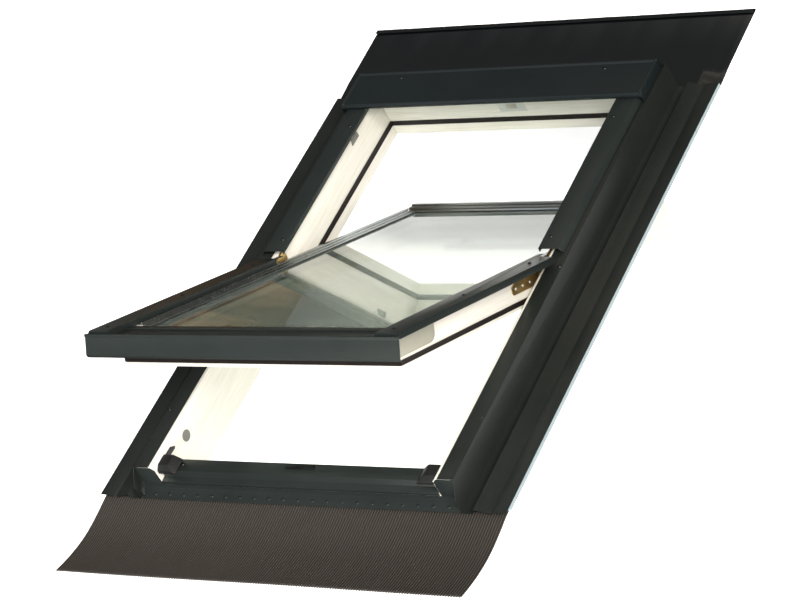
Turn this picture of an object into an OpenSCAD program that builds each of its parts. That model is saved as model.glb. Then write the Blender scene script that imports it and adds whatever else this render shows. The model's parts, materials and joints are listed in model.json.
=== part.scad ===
// Centre-pivot roof window with its flashing kit, lying in the roof plane.
// X runs across the roof, +Y up the slope and +Z out of the roof.
// The origin is at the middle of the window opening, on the roof plane.
// The sash stands part open on its pivots, as it does when a room is aired.

/* [Window frame] */
// Overall width of the frame, across the roof
frame_w = 780; // [640:1:980]
// Overall length of the frame, along the slope
frame_h = 1180; // [980:1:1420]
// Depth of the frame timber, from the jamb tops to the room side
frame_depth = 128; // [120:1:140]
// Width of each frame member
member_w = 45; // [40:1:55]
// Height of the jamb tops above the roof plane
jamb_top = 70; // [64:1:84]
// How far the sill lies below the jamb tops
sill_drop = 26; // [24:1:30]
// Chamfer along the inner top edge of a jamb
jamb_chamfer = 8; // [4:1:10]

/* [Sash] */
// Running gap between a sash stile and its jamb
side_gap = 6; // [6:0.5:9]
// Gap between the ends of the sash and the head or sill
end_gap = 9; // [8:0.5:14]
// Width of the sash stiles and rails
stile_w = 42; // [36:1:52]
// Depth of the sash timber
stile_depth = 74; // [70:1:80]
// Height of the pivot axis above the jamb tops
pivot_rise = 6; // [5:0.5:8]
// Opening angle at which the sash stands
rest_angle = 31; // [10:1:60]

/* [Glazing] */
// Thickness of each glass pane
pane_t = 4; // [3:1:6]
// Thickness of the spacer between the panes
spacer_t = 16; // [12:1:18]
// How far the glass reaches into its rebate
glass_bite = 15; // [12:1:18]
// Clearance around the edge of the glass
glass_gap = 3; // [2:0.5:4]

/* [Covers] */
// Thickness of the folded aluminium covers
cover_t = 1.2; // [0.8:0.1:2]
// Height of the cover tops above the jamb tops
cover_rise = 14; // [13:1:16]
// Width of the flat top of a side cover
cover_w = 49; // [44:1:52]
// Length of the hood over the head of the window
hood_len = 114; // [100:1:130]
// Height of the hood above the side covers
hood_rise = 11; // [9:1:16]
// Height of the front face of the bottom cladding
fascia_h = 49; // [42:1:50]

/* [Flashing] */
// Thickness of the flashing sheet
sheet_t = 1; // [0.6:0.1:1.6]
// Width of the flashing beside the frame, on each side
flash_w = 115; // [100:1:200]
// Distance of the upstand beyond the outer face of the frame
upstand_out = 7; // [5:1:12]
// Length of the apron below the frame
apron_len = 28; // [24:1:60]
// Length of the pleated skirt
skirt_len = 210; // [150:1:300]
// Thickness of the pleated skirt, over its pleats
skirt_t = 3; // [2:0.5:5]
// Length of the head flashing above the frame
head_len = 244; // [180:1:320]

/* [Hinges and fittings] */
// Diameter of the pivot pins
pin_d = 8; // [6:0.5:9]
// Radial running clearance of the pivot pins
pin_clear = 0.06; // [0.03:0.01:0.09]
// Wall around the pivot pin in each hinge ear
ear_wall = 3; // [2.5:0.5:3.5]
// Diameter of the control bar
bar_d = 14; // [12:1:18]
// Length of the control bar
bar_len = 460; // [300:1:540]
// Diameter of the screw holes in the mounting brackets
bracket_hole_d = 7; // [5:0.5:9]

/* [Hidden] */

LEFT = -1;
RIGHT = 1;
SIDES = [LEFT, RIGHT];
FACETS = 32;         // facets of small round sections
FINE = 48;           // facets of pins and bores
SNUG = 0.3;          // clearance between pieces that lie against each other
CUT = 1;             // how far a cutting body runs past the face that it cuts

half_w = frame_w / 2;
half_h = frame_h / 2;
frame_bottom = jamb_top - frame_depth;
sill_top = jamb_top - sill_drop;
inner_w = half_w - member_w;
inner_h = half_h - member_w;
pivot_z = jamb_top + pivot_rise;
cover_top = jamb_top + cover_rise;
flange_z = jamb_top + SNUG;
covers_clear = flange_z + sheet_t + 1.2;   // lowest point of a cover above the flange

// Sash sizes, in the sash's own frame: its origin is on the pivot axis.
stile_out = inner_w - side_gap;
stile_in = stile_out - stile_w;
sash_h = inner_h - end_gap;
rail_in = sash_h - stile_w;
stile_top = -pivot_rise;
stile_bottom = stile_top - stile_depth;
clad_top = cover_top - pivot_z;
pocket_w = stile_in + glass_bite + glass_gap;
pocket_h = rail_in + glass_bite + glass_gap;
glass_w = stile_in + glass_bite;
glass_h = rail_in + glass_bite;
gasket_t = 2;
glass_top = stile_top - 6;
unit_t = 2 * pane_t + spacer_t;
glass_bottom = glass_top - unit_t;
pocket_floor = glass_bottom - gasket_t;

// Covers: the inner edge of their flat top, and the bevel outside it.
cover_in = stile_out - 11;
cover_out = cover_in + cover_w;
bevel_w = 9;
cover_lip = 10;      // height of the lip on the inner edge of a cover
cover_start = 24;    // lower end of the fixed covers, above the pivot axis
clad_start = 8;      // upper end of the moving claddings, below the pivot axis
ear_r = pin_d / 2 + ear_wall;
ear_t = 4;
screw_r = 4;
screw_h = 1.6;

hood_y1 = half_h - 1;
hood_y0 = hood_y1 - hood_len;
hood_half_w = half_w + 3;
hood_top = cover_top + hood_rise;

flange_in = inner_w + 14;
ridge_x = half_w + upstand_out;
flash_half_w = half_w + flash_w;
apron_y = -half_h - apron_len;
head_y = half_h + head_len;
step_y = half_h + 8;

function unit(v) = v / norm(v);
function left_of(v) = [-v.y, v.x];
function joint_normal(p, i) =
    let (a = unit(p[max(i, 1)] - p[max(i, 1) - 1]),
         b = unit(p[min(i, len(p) - 2) + 1] - p[min(i, len(p) - 2)]),
         n = unit(left_of(a) + left_of(b)))
    n / (n * left_of(a));
// Outline of a folded sheet: a line of folds, thickened to its left.
function sheet(p, t) = concat(p, [for (i = [len(p) - 1:-1:0]) p[i] + t * joint_normal(p, i)]);

// A section drawn in X and Z, run along Y from y0 to y1.
module run_y(y0, y1) translate([0, y1, 0]) rotate([90, 0, 0]) linear_extrude(y1 - y0) children();
// A section drawn in Y and Z, run along X from x0 to x1.
module run_x(x0, x1) translate([x0, 0, 0]) rotate([90, 0, 90]) linear_extrude(x1 - x0) children();
// A box given by its lowest and highest corners.
module box(a, b) translate(a) cube(b - a);
module on_side(side) mirror([side == LEFT ? 1 : 0, 0, 0]) children();
// The sash stands open by rest_angle about the pivot axis.
module sash_pose() translate([0, 0, pivot_z]) rotate([-rest_angle, 0, 0]) children();
module rod_x(x0, x1, r) translate([x0, 0, 0]) rotate([0, 90, 0]) cylinder(h = x1 - x0, r = r, $fn = FINE);

// ---- Window frame ----

hinge_pocket_y0 = -32;
hinge_pocket_y1 = 44;
hinge_pocket_z = jamb_top - 34;
hinge_recess = 2;

module jamb(side) color("white") on_side(side) difference() {
    run_y(-half_h, half_h) polygon([[inner_w, frame_bottom], [inner_w, jamb_top - jamb_chamfer],
        [inner_w + jamb_chamfer, jamb_top], [half_w, jamb_top], [half_w, frame_bottom]]);
    box([inner_w - CUT, hinge_pocket_y0 - SNUG, hinge_pocket_z - SNUG],
        [inner_w + hinge_recess + SNUG, hinge_pocket_y1 + SNUG, jamb_top + CUT]);
    translate([0, 0, pivot_z]) rod_x(inner_w, inner_w + hinge_recess + SNUG, ear_r + 1);
}
module frame_left_jamb() jamb(LEFT);
module frame_right_jamb() jamb(RIGHT);

latch_w = 24;
latch_t = 8;
latch_z = stile_bottom + 18;          // middle of the latch, in the sash's frame
latch_travel = 16;
striker_t = 1.2;
striker_gap = 2;

module frame_head() color("white") difference() {
    box([-inner_w, inner_h, frame_bottom], [inner_w, half_h, jamb_top]);
    box([-latch_w / 2 - striker_gap, inner_h - CUT, pivot_z + latch_z - latch_t / 2 - striker_gap],
        [latch_w / 2 + striker_gap, inner_h + latch_travel, pivot_z + latch_z + latch_t / 2 + striker_gap]);
}
// The front of the sill is stepped down under its cover.
sill_land = 28;      // width of the level top of the sill
sill_step = 13;
sill_slope = 3;      // how far the riser of the step leans out
sill_fall = 5;       // fall from the step to the front face
module frame_sill() color("white") run_x(-inner_w, inner_w) polygon([[-inner_h, frame_bottom],
    [-inner_h, sill_top], [-inner_h - sill_land, sill_top],
    [-inner_h - sill_land - sill_slope, sill_top - sill_step - sill_slope],
    [-half_h, sill_top - sill_step - sill_fall], [-half_h, frame_bottom]]);

seal_z = frame_bottom + 28;
seal_h = 12;
seal_t = 2.7;
seal_start = 60;
module frame_seal() color([0.2, 0.12, 0.07]) {
    for (side = SIDES) on_side(side)
        box([inner_w - seal_t, seal_start, seal_z], [inner_w, inner_h, seal_z + seal_h]);
    box([-inner_w + seal_t, inner_h - seal_t, seal_z], [inner_w - seal_t, inner_h, seal_z + seal_h]);
}

// ---- Fixed covers ----

// Folded section of a side cover, given its top, its inner lip and its outer foot.
function cover_section(top, lip, foot) = sheet([[cover_in, top - lip], [cover_in, top],
    [cover_out, top], [cover_out + bevel_w, foot]], -cover_t);

hood_lap = 40;       // how far the side covers stop short of the back of the hood
module upper_cover(side) color([0.2, 0.215, 0.21]) on_side(side)
    run_y(cover_start, hood_y1 - hood_lap) polygon(cover_section(cover_top, cover_lip, covers_clear));
module left_upper_cover() upper_cover(LEFT);
module right_upper_cover() upper_cover(RIGHT);

hood_edge = 5;
module hood_section(inset) {
    y0 = hood_y0 + inset;
    y1 = hood_y1 - inset;
    z1 = hood_top - inset;
    polygon([[y0, jamb_top], [y0, z1 - hood_edge], [y0 + hood_edge, z1],
        [y1 - hood_edge, z1], [y1, z1 - hood_edge], [y1, jamb_top]]);
}
hood_rim_w = 8;
hood_rim_h = 4;
// A raised rim that runs along the back and the ends of the hood, drawn from its outer edge.
module hood_rim() polygon([[-hood_rim_w, -1], [-hood_rim_w, 0], [-hood_rim_w + 3, hood_rim_h],
    [-2, hood_rim_h], [0, hood_rim_h - 2], [0, -1]]);
module hood_cover() color([0.13, 0.15, 0.16]) difference() {
    union() {
        run_x(-hood_half_w, hood_half_w) hood_section(0);
        run_x(-hood_half_w, hood_half_w) translate([hood_y1 - hood_edge, hood_top]) hood_rim();
        for (side = SIDES) on_side(side) run_y(hood_y0 + hood_edge, hood_y1 - hood_edge)
            translate([hood_half_w, hood_top]) hood_rim();
    }
    run_x(-hood_half_w + cover_t, hood_half_w - cover_t) hood_section(cover_t);
    box([-hood_half_w - CUT, hood_y0 - CUT, 0], [hood_half_w + CUT, hood_y1 + CUT, covers_clear]);
    box([-hood_half_w + cover_t, hood_y0 - CUT, 0],
        [hood_half_w - cover_t, hood_y0 + hood_edge, cover_top + SNUG]);
}

sill_lip = 6;        // height of the lip behind the sill
sill_front = 22;     // how far the front of the sill cover reaches down
sill_cover_z = sill_top + SNUG + cover_t;
module sill_cover() color([0.2, 0.215, 0.21]) run_x(-inner_w + SNUG, inner_w - SNUG) {
    back = -inner_h + 1 + cover_t;
    nose = back - sill_land - 4;
    front = -half_h - 1 - cover_t;
    polygon(sheet([[back, sill_top - sill_lip], [back, sill_cover_z], [nose, sill_cover_z],
        [nose - sill_slope, sill_top - sill_step + 1], [front, sill_top - sill_step - 1],
        [front, sill_top - sill_front]], cover_t));
}

// ---- Flashing ----

pan_z = 2.5;         // height of the flashing pan above the roof plane
edge_z = 11;         // height of the outer edge of the side flashing
upstand_lean = 4;    // how far the foot of the upstand lies beyond its top
rib_x = ridge_x + 33;
rib_foot = 5;
rib_h = 12;
fold_x = flash_half_w - 38;
fold_rise = 5;
upstand_cut = 34;    // how far the end of the upstand is cut down at the apron
side_section = [[flange_in, flange_z], [ridge_x, flange_z], [ridge_x + upstand_lean, pan_z],
    [rib_x - rib_foot, pan_z], [rib_x - 1, pan_z + rib_h], [rib_x + 1, pan_z + rib_h],
    [fold_x, pan_z + 1], [fold_x + 3, pan_z + fold_rise], [flash_half_w, edge_z]];

module side_flashing(side) color([0.2, 0.2, 0.19]) on_side(side) difference() {
    run_y(apron_y, step_y - SNUG) polygon(sheet(side_section, sheet_t));
    box([flange_in - CUT, apron_y - CUT, pan_z + rib_h], [ridge_x - CUT, -half_h - sheet_t, cover_top]);
    box([flange_in - CUT, half_h - SNUG, pan_z + rib_h], [ridge_x - CUT, step_y, cover_top]);
    run_x(ridge_x - 2 * CUT, ridge_x + upstand_lean + rib_foot)
        polygon([[-half_h, cover_top], [-half_h, flange_z],
            [apron_y - CUT, flange_z - upstand_cut], [apron_y - CUT, cover_top]]);
}
module left_side_flashing() side_flashing(LEFT);
module right_side_flashing() side_flashing(RIGHT);

hem_w = 14;          // width of the folded back edge of the head flashing
hem_gap = 2;
head_slope = 60;     // length of the slope behind the head upstand
head_flange = 20;    // how far the head upstand stops below the hood top
module head_flashing() color([0.1, 0.11, 0.12]) difference() {
    run_x(-flash_half_w, flash_half_w) polygon(sheet([[head_y - hem_w, edge_z + 2 * sheet_t + hem_gap],
        [head_y - hem_gap, edge_z + 2 * sheet_t + hem_gap], [head_y, edge_z + sheet_t],
        [head_y - hem_gap, edge_z], [step_y + head_slope, pan_z + 4], [step_y, pan_z],
        [half_h + 2, pan_z], [half_h + 1, hood_top - head_flange]], sheet_t));
    for (side = SIDES) on_side(side)
        box([ridge_x - CUT, half_h, 0], [flash_half_w + CUT, step_y, hood_top]);
}

// The apron turns up against the sill, and over the ends of the jambs.
apron_top = sill_top - sill_front - 2;
apron_fold = (apron_top + pan_z) / 2;
jamb_plate_in = inner_w + 2;
module apron_flashing() color([0.2, 0.215, 0.21]) {
    end = ridge_x - CUT;
    run_x(-end, end) polygon(sheet([[-half_h - 1, apron_top], [-half_h - 3, apron_fold],
        [apron_y, pan_z + 2]], sheet_t));
    for (side = SIDES) on_side(side) run_y(-half_h - sheet_t, -half_h)
        polygon([[jamb_plate_in, apron_fold], [jamb_plate_in, jamb_top - jamb_chamfer - 1],
            [jamb_plate_in + jamb_chamfer, jamb_top - 1], [end, jamb_top - 1], [end, apron_fold]]);
}

// The skirt dips behind the apron and rises again over the tiles.
skirt_lap = 14;      // how far the skirt lies under the flashing
skirt_dip = 7;
skirt_dip_at = 88;
skirt_lift = 22;
skirt_top = pan_z - SNUG;
SKIRT_STEPS = 14;
function skirt_z(t) = t < skirt_dip_at
    ? skirt_top - skirt_dip * sin(90 * t / skirt_dip_at)
    : skirt_top - skirt_dip + skirt_lift * pow((t - skirt_dip_at) / (skirt_len - skirt_dip_at), 1.8);
module apron_skirt() color([0.25, 0.23, 0.21]) run_x(-flash_half_w + 5, flash_half_w - 5)
    polygon(sheet([for (i = [0:SKIRT_STEPS]) let (t = (skirt_len + skirt_lap) * i / SKIRT_STEPS - skirt_lap)
        [apron_y - t, skirt_z(max(t, 0))]], skirt_t));

foam_w = 14;
module foam_strip(side) color([0.86, 0.9, 0.91]) on_side(side)
    run_y(apron_y + skirt_lap + 1, step_y - 1) polygon([[flash_half_w - foam_w, 0],
        [flash_half_w - 1, 0], [flash_half_w - 1, edge_z - SNUG], [flash_half_w - foam_w, edge_z - 2.5]]);
module left_foam_strip() foam_strip(LEFT);
module right_foam_strip() foam_strip(RIGHT);

// ---- Fittings on the frame ----

block_in = stile_in + 3;
block_slope = 18;    // how far the inner end of the block leans back
block_plate = 2;     // thickness of the plate that guides the sash
block_plate_len = 37;
block_front = -half_h + 3;
block_back = -inner_h - 3;
block_foot = sill_cover_z + 2 * SNUG;
block_top = jamb_top - 5;
module corner_block(side) color([0.05, 0.06, 0.06]) on_side(side) {
    intersection() {
        run_x(block_in, inner_w - SNUG) polygon([[block_front, block_foot + 2],
            [block_front, block_top - 9], [block_front + 11, block_top], [block_back, block_top],
            [block_back, block_foot], [block_front + 3, block_foot]]);
        run_y(block_front, block_back) polygon([[block_in + 4, block_foot], [block_in, block_foot + 5],
            [block_in + block_slope, block_top], [inner_w, block_top], [inner_w, block_foot]]);
    }
    run_x(inner_w - block_plate, inner_w - SNUG) translate([block_back, 0]) polygon([
        [-CUT, block_foot + 2], [-CUT, block_top - 4], [block_plate_len - 12, block_top - 5],
        [block_plate_len, block_top - 15], [block_plate_len - 4, block_foot]]);
}
module left_corner_block() corner_block(LEFT);
module right_corner_block() corner_block(RIGHT);

bush_y = -half_h + 120;
bush_z = jamb_top - 34;
bush_r = 13;
module jamb_bushes() color([0.6, 0.6, 0.58]) for (side = SIDES) on_side(side)
    translate([0, bush_y, bush_z]) rod_x(inner_w - 1, inner_w, bush_r);

stop_y = inner_h - 150;
stop_len = 34;
stop_h = 12;
stop_t = 3;
stop_z = jamb_top - 24;
module jamb_stops() color([0.55, 0.56, 0.55]) for (side = SIDES) on_side(side)
    run_x(inner_w - stop_t, inner_w) translate([stop_y, stop_z])
        polygon([[0, 0], [stop_h / 2, stop_h], [stop_len, stop_h], [stop_len, 0]]);

striker_half = 35;
sill_striker_w = 10;
sill_striker_t = 3;
module sill_striker() color([0.12, 0.12, 0.12]) translate([-striker_half, block_back, sill_cover_z + SNUG])
    mirror([0, 1, 0]) cube([2 * striker_half, sill_striker_w, sill_striker_t]);

module head_striker() color([0.7, 0.7, 0.68]) difference() {
    z = pivot_z + latch_z;
    box([-striker_half, inner_h - striker_t, z - 2 * latch_t], [striker_half, inner_h, z + 2 * latch_t]);
    box([-latch_w / 2 - striker_gap, inner_h - 2 * striker_t, z - latch_t / 2 - striker_gap],
        [latch_w / 2 + striker_gap, inner_h + CUT, z + latch_t / 2 + striker_gap]);
}

// The fixed half of a pivot hinge: a plate let into the jamb, with an ear for the pin.
hinge_plate_x = inner_w + hinge_recess;
plate_cut = 10;      // cut across the corners of the plate
module frame_hinge(side) color([0.72, 0.6, 0.32]) on_side(side) difference() {
    union() {
        run_x(hinge_plate_x - ear_t, hinge_plate_x) polygon([
            [hinge_pocket_y0, hinge_pocket_z + plate_cut], [hinge_pocket_y0 + plate_cut, hinge_pocket_z],
            [hinge_pocket_y1 - plate_cut, hinge_pocket_z], [hinge_pocket_y1, hinge_pocket_z + plate_cut],
            [hinge_pocket_y1, jamb_top - 2], [hinge_pocket_y0, jamb_top - 2]]);
        translate([0, 0, pivot_z]) rod_x(hinge_plate_x - ear_t, hinge_plate_x, ear_r);
        box([hinge_plate_x - ear_t, -ear_r, hinge_pocket_z + plate_cut], [hinge_plate_x, ear_r, pivot_z]);
    }
    translate([0, 0, pivot_z]) rod_x(0, half_w, pin_d / 2 + pin_clear);
}
module left_frame_hinge() frame_hinge(LEFT);
module right_frame_hinge() frame_hinge(RIGHT);

// A pan-head screw whose head stands on the plane z = 0.
module screw_head() cylinder(h = screw_h, r1 = screw_r, r2 = screw_r * 0.7, $fn = FACETS);
module screws_at(places) for (p = places) translate(p) screw_head();

cover_screw_x = cover_in + 16;
cover_screw_y = [60, hood_y0 - 55];
flange_screw_x = (cover_out + bevel_w + ridge_x) / 2;
flange_screw_y = [-15, 160 - half_h];
hood_screw_x = inner_w - 77;
sill_screw_x = inner_w - member_w;
module cover_screws() color([0.35, 0.36, 0.36]) for (side = SIDES) {
    screws_at([for (y = cover_screw_y) [side * cover_screw_x, y, cover_top]]);
    screws_at([for (y = flange_screw_y) [side * flange_screw_x, y, flange_z + sheet_t]]);
    screws_at([[side * hood_screw_x, hood_y1 - hood_lap + 15, hood_top]]);
    screws_at([[side * sill_screw_x, -inner_h - 12, sill_cover_z]]);
}

bracket_t = 2.5;
bracket_w = 60;
bracket_leg = 45;
bracket_reach = 65;
bracket_y = half_h - 160;
bracket_hole_x = half_w + 45;
module bracket(side, y) color([0.62, 0.63, 0.64]) translate([0, y, 0]) on_side(side) difference() {
    union() {
        box([half_w, -bracket_w / 2, -bracket_leg], [half_w + bracket_t, bracket_w / 2, 0]);
        box([half_w, -bracket_w / 2, -bracket_t], [half_w + bracket_reach, bracket_w / 2, 0]);
    }
    translate([bracket_hole_x, 0, -bracket_t - CUT])
        cylinder(h = bracket_t + 2 * CUT, d = bracket_hole_d, $fn = FINE);
}
module left_lower_bracket() bracket(LEFT, -bracket_y);
module right_lower_bracket() bracket(RIGHT, -bracket_y);
module left_upper_bracket() bracket(LEFT, bracket_y);
module right_upper_bracket() bracket(RIGHT, bracket_y);
module bracket_screws() color([0.6, 0.6, 0.6]) for (side = SIDES, row = SIDES, dy = [-18, 18])
    on_side(side) translate([half_w + bracket_t, row * bracket_y + dy, -bracket_leg / 2])
        rotate([0, 90, 0]) screw_head();

// ---- Sash timber and glass ----

module glass_pocket() box([-pocket_w, -pocket_h, pocket_floor], [pocket_w, pocket_h, 0]);
module stile(side) color("white") sash_pose() difference() {
    on_side(side) box([stile_in, -sash_h, stile_bottom], [stile_out, sash_h, stile_top]);
    glass_pocket();
}
module sash_left_stile() stile(LEFT);
module sash_right_stile() stile(RIGHT);

latch_len = 30;
latch_front = sash_h - 2;             // the drawn bolt lies just inside the edge of the sash
// The bolt, or its pocket with some play all round, open at the edge of the sash.
module latch_shape(play, reach)
    box([-latch_w / 2 - play, latch_front - latch_len - play, latch_z - latch_t / 2 - play],
        [latch_w / 2 + play, latch_front + reach, latch_z + latch_t / 2 + play]);
module sash_top_rail() color("white") sash_pose() difference() {
    box([-stile_in, rail_in, stile_bottom], [stile_in, sash_h, stile_top]);
    glass_pocket();
    latch_shape(SNUG, latch_travel);
}
nose_len = 48;       // how far the bottom rail reaches out over the sill
nose_bottom = sill_top + 6 - pivot_z;
nose_top = stile_top - 2;
module sash_bottom_rail() color("white") sash_pose() difference() {
    union() {
        box([-stile_in, -sash_h, stile_bottom], [stile_in, -rail_in, stile_top]);
        box([-stile_in, -sash_h - nose_len, nose_bottom], [stile_in, -sash_h, nose_top]);
    }
    glass_pocket();
}

module outer_pane() color([0.75, 0.85, 0.85, 0.4]) sash_pose()
    box([-glass_w, -glass_h, glass_top - pane_t], [glass_w, glass_h, glass_top]);
module inner_pane() color([0.75, 0.85, 0.85, 0.4]) sash_pose()
    box([-glass_w, -glass_h, glass_bottom], [glass_w, glass_h, glass_bottom + pane_t]);

// A flat rectangular ring between two half sizes.
module ring(inner, outer, z0, z1) difference() {
    box([-outer.x, -outer.y, z0], [outer.x, outer.y, z1]);
    box([-inner.x, -inner.y, z0 - CUT], [inner.x, inner.y, z1 + CUT]);
}
spacer_in = 3;       // how far the spacer stands in from the edge of the glass
spacer_w = 9;
module pane_spacer() color([0.75, 0.76, 0.77]) sash_pose()
    ring([glass_w - spacer_in - spacer_w, glass_h - spacer_in - spacer_w],
        [glass_w - spacer_in, glass_h - spacer_in], glass_bottom + pane_t, glass_top - pane_t);
module glazing_gasket(z0) ring([stile_in + 2, rail_in + 2], [glass_w - 1, glass_h - 1], z0, z0 + gasket_t);
module inner_glazing_gasket() color([0.1, 0.1, 0.1]) sash_pose() glazing_gasket(pocket_floor);
module outer_glazing_gasket() color([0.1, 0.1, 0.1]) sash_pose() glazing_gasket(glass_top);

// Glazing beads hold the glass down from outside. They rise from it in steps.
bead_foot = glass_top + gasket_t;
bead_top = stile_top + 4;
bead_in = 2;         // how far the beads stand back from the sight line
BEAD_STEPS = 3;
bead_tread = 9;
bead_riser = (bead_top - bead_foot) / BEAD_STEPS;
function bead_section(a, b) = let (back = a + glass_bite + glass_gap - SNUG)
    concat([for (i = [0:BEAD_STEPS - 1], top = [0, 1])
                [a + bead_in + i * bead_tread + top, bead_foot + (i + top) * bead_riser]],
        [[b, bead_top], [b, stile_top], [back, stile_top], [back, bead_foot]]);
// Clears the ends of a bead that runs across, where they would enter the stiles.
module bead_ends() for (side = SIDES) on_side(side)
    box([pocket_w - SNUG, 0, bead_foot - CUT], [stile_out, half_h, stile_top]);
module side_bead(side) color([0.17, 0.18, 0.18]) sash_pose() on_side(side)
    run_y(-rail_in, rail_in) polygon(bead_section(stile_in, cover_in - SNUG));
module left_bead() side_bead(LEFT);
module right_bead() side_bead(RIGHT);
module bottom_bead() color([0.1, 0.11, 0.11]) sash_pose() mirror([0, 1, 0]) difference() {
    run_x(-cover_in + SNUG, cover_in - SNUG) polygon(bead_section(rail_in, sash_h));
    bead_ends();
}
// The top bead is a higher stepped profile of plain aluminium.
top_bead_h = 9;
top_bead_tread = 10;
module top_bead() color([0.62, 0.65, 0.65]) sash_pose() difference() {
    a = rail_in + bead_in;
    run_x(-cover_in + 6, cover_in - 6) polygon([[a, bead_foot], [a + 1, stile_top],
        [a + top_bead_tread - 1, stile_top + 1], [a + top_bead_tread, stile_top + top_bead_h / 2],
        [a + 2 * top_bead_tread, stile_top + top_bead_h / 2 + 1],
        [a + 2 * top_bead_tread + 1, stile_top + top_bead_h], [sash_h - 6, stile_top + top_bead_h],
        [sash_h - 2, stile_top + top_bead_h / 2], [sash_h, stile_top],
        [pocket_h - SNUG, stile_top], [pocket_h - SNUG, bead_foot]]);
    bead_ends();
}

// ---- Sash claddings ----

clad_end = sash_h + nose_len + 4;
clad_lip = clad_top - stile_top - SNUG;
clad_foot = covers_clear - pivot_z;
tongue_end = cover_start - 6;         // end of the tongue that covers the top of the hinge
module sash_cladding(side) color([0.2, 0.215, 0.21]) sash_pose() on_side(side) {
    section = cover_section(clad_top, clad_lip, clad_foot);
    run_y(-clad_end, -clad_start) polygon(section);
    run_y(-clad_end, -clad_end + cover_t) polygon([[cover_in, clad_top - clad_lip],
        [cover_in, clad_top], [cover_out, clad_top], [cover_out + bevel_w, clad_foot]]);
    box([cover_in, -clad_start, clad_top - cover_t], [stile_out - 1, tongue_end, clad_top]);
}
module left_sash_cladding() sash_cladding(LEFT);
module right_sash_cladding() sash_cladding(RIGHT);

fascia_half_w = cover_out + bevel_w;
fascia_top = clad_top - 6;
fascia_fold = 6;     // width of the folds along the edges of the front face
fascia_lean = 4;
fascia_hem = 5;      // height of the folded hem along the top of the front face
fascia_step = 1.5;   // how far the face stands back below the hem
module bottom_cladding() color([0.17, 0.19, 0.2]) sash_pose() {
    front = clad_end + cover_t + SNUG;
    deck_z = stile_top + cover_t + SNUG;
    run_x(-cover_in + SNUG, cover_in - SNUG) polygon(sheet([[-sash_h - SNUG, deck_z],
        [-clad_end + 4, deck_z], [-front - cover_t, fascia_top], [-front - fascia_fold, fascia_top]], cover_t));
    run_x(-fascia_half_w, fascia_half_w) polygon(sheet([[-front, fascia_top],
        [-front - fascia_fold, fascia_top], [-front - fascia_fold, fascia_top - fascia_hem],
        [-front - fascia_fold + fascia_step, fascia_top - fascia_hem - fascia_step],
        [-front - fascia_fold - fascia_lean, fascia_top - fascia_h + fascia_fold],
        [-front - fascia_lean - 1, fascia_top - fascia_h]], cover_t));
}

cap_len = 126;
cap_r = 18;
cap_h = 50;
cap_t = 2.4;
module corner_cap(side) color([0.78, 0.77, 0.71]) sash_pose() on_side(side)
    translate([stile_out, -sash_h, stile_top - cap_h]) rotate([90, 0, 90]) linear_extrude(cap_t) {
        square([cap_len - cap_r, cap_h - 2]);
        translate([0, cap_r]) square([cap_len, cap_h - 2 - cap_r]);
        translate([cap_len - cap_r, cap_r]) circle(r = cap_r, $fn = FINE);
    }
module left_corner_cap() corner_cap(LEFT);
module right_corner_cap() corner_cap(RIGHT);

sash_seal_top = stile_top - 56;
sash_seal_h = 10;
sash_seal_t = 3;
sash_seal_end = 25;   // the seal stops short of the pivots
sash_seal_lip = 2;    // thinner along the bottom, where it swings past the sill cover
module sash_seal() color([0.2, 0.12, 0.07]) sash_pose() {
    for (side = SIDES) on_side(side) box([stile_out, -sash_h, sash_seal_top - sash_seal_h],
        [stile_out + sash_seal_t, -sash_seal_end, sash_seal_top]);
    box([-stile_out, -sash_h - sash_seal_lip, sash_seal_top - sash_seal_h],
        [stile_out, -sash_h, sash_seal_top]);
}

// ---- Sash fittings ----

// The moving half of a pivot hinge: an arm on the stile, with the ear and its pin.
arm_t = 2.2;
arm_len = 120;
arm_w = 34;
arm_end = 30;         // how far the arm runs on beyond the pivot
arm_top = stile_top - 6;
module sash_hinge(side) color([0.72, 0.6, 0.32]) sash_pose() on_side(side) {
    x1 = stile_out + arm_t;
    run_x(stile_out, x1) polygon([[6 - arm_len, arm_top - arm_w], [-arm_len, arm_top - arm_w + 6],
        [-arm_len, arm_top - arm_w / 2], [arm_end - arm_len, arm_top], [arm_end - 6, arm_top],
        [arm_end, arm_top - 10], [arm_end - 10, arm_top - arm_w]]);
    box([stile_out, -ear_r, arm_top - 6], [x1, ear_r, 0]);
    rod_x(stile_out, x1, ear_r);
    rod_x(stile_out, hinge_plate_x, pin_d / 2);
}
module left_sash_hinge() sash_hinge(LEFT);
module right_sash_hinge() sash_hinge(RIGHT);

sash_screw_y = [-60, 226 - sash_h, 30 - clad_end];
module sash_screws() color([0.5, 0.51, 0.51]) sash_pose() for (side = SIDES)
    screws_at([for (y = sash_screw_y) [side * (cover_in + cover_w / 2), y, clad_top]]);

bracket_pivot = [sash_h - 17, stile_bottom - 9];   // control bar pivot, in Y and Z
bar_bracket_x = bar_len / 2 - 50;
bar_bracket_w = 16;
bar_bracket_h = 16;
bar_pin_r = 3;
module bar_brackets() color([0.62, 0.63, 0.64]) sash_pose() for (side = SIDES)
    translate([side * bar_bracket_x - bar_bracket_w / 2, 0, 0]) difference() {
        run_x(0, bar_bracket_w) translate([bracket_pivot.x, stile_bottom])
            polygon([[-14, 0], [-9, -bar_bracket_h], [9, -bar_bracket_h], [14, 0]]);
        translate([0, bracket_pivot.x, bracket_pivot.y])
            rod_x(-CUT, bar_bracket_w + CUT, bar_pin_r + pin_clear);
    }

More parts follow.
